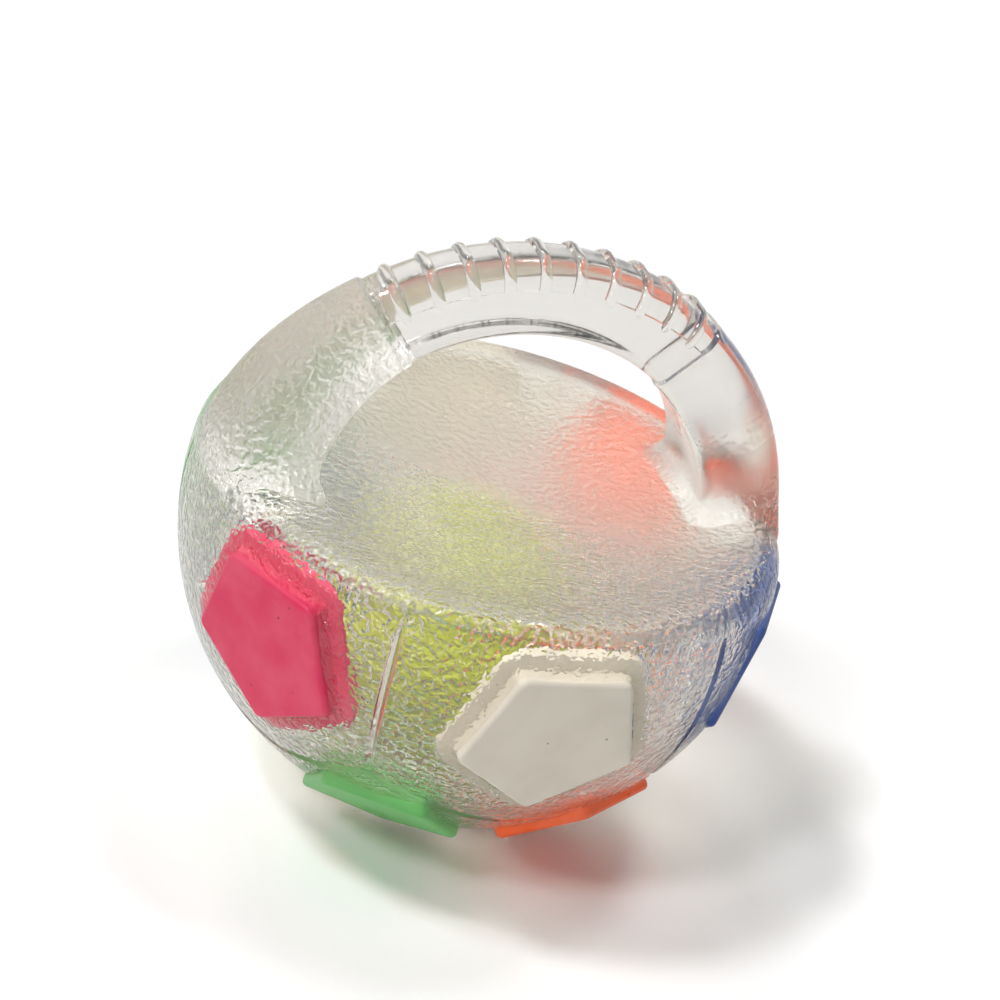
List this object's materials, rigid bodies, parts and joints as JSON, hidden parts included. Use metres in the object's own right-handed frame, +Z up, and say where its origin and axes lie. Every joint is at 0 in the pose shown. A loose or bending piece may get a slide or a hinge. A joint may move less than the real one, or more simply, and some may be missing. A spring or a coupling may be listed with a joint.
{
  "type": "dog soccer ball",
  "caption": "Clear rubber dog soccer ball with a carry handle, coloured pentagon plugs in its wall and a tennis ball loose inside",
  "frame": {"origin": "on the floor, at the middle of the bottom plug's flat face, straight under the ball's centre", "axes": "+Z up through the handle, +Y to the back, away from the front white plug; the handle arch runs along X"},
  "size_m": [0.1498, 0.1516, 0.1529],
  "materials": {
    "clear_shell": "clear, slightly warm, fine leather-like grain",
    "clear_lid": "clear, slightly warm, smooth grip, grained feet",
    "white_plug": "satin off-white",
    "pink_plug": "satin pink",
    "blue_plug": "satin blue",
    "green_plug": "satin green",
    "orange_plug": "satin orange",
    "core_rubber": "black moulded rubber",
    "felt": "napped yellow-green felt",
    "seam_cement": "pale seam rubber"
  },
  "bodies": {
    "shell": {"clear_bowl": "clear_shell", "clear_lid_with_handle": "clear_lid", "plug_belt_front_white": "white_plug", "plug_belt_front_left_pink": "pink_plug", "plug_belt_front_right_blue": "blue_plug", "plug_belt_back_left_green": "green_plug", "plug_belt_back_right_orange": "orange_plug", "plug_belt_back_white": "white_plug", "plug_low_front_left_green": "green_plug", "plug_low_front_right_orange": "orange_plug", "plug_low_back_left_blue": "blue_plug", "plug_low_back_right_pink": "pink_plug", "plug_bottom_white": "white_plug"},
    "tennis_ball": {"tennis_core_upper": "core_rubber", "tennis_core_lower": "core_rubber", "tennis_felt_a": "felt", "tennis_felt_b": "felt", "tennis_seam": "seam_cement"}
  },
  "joints": [
    {"name": "tennis_ball_roll", "type": "hinge", "parent": "shell", "child": "tennis_ball", "pos_m": [0, 0, 0.075], "axis": [0, 1, 0], "range_deg": [-30, 30]}
  ]
}
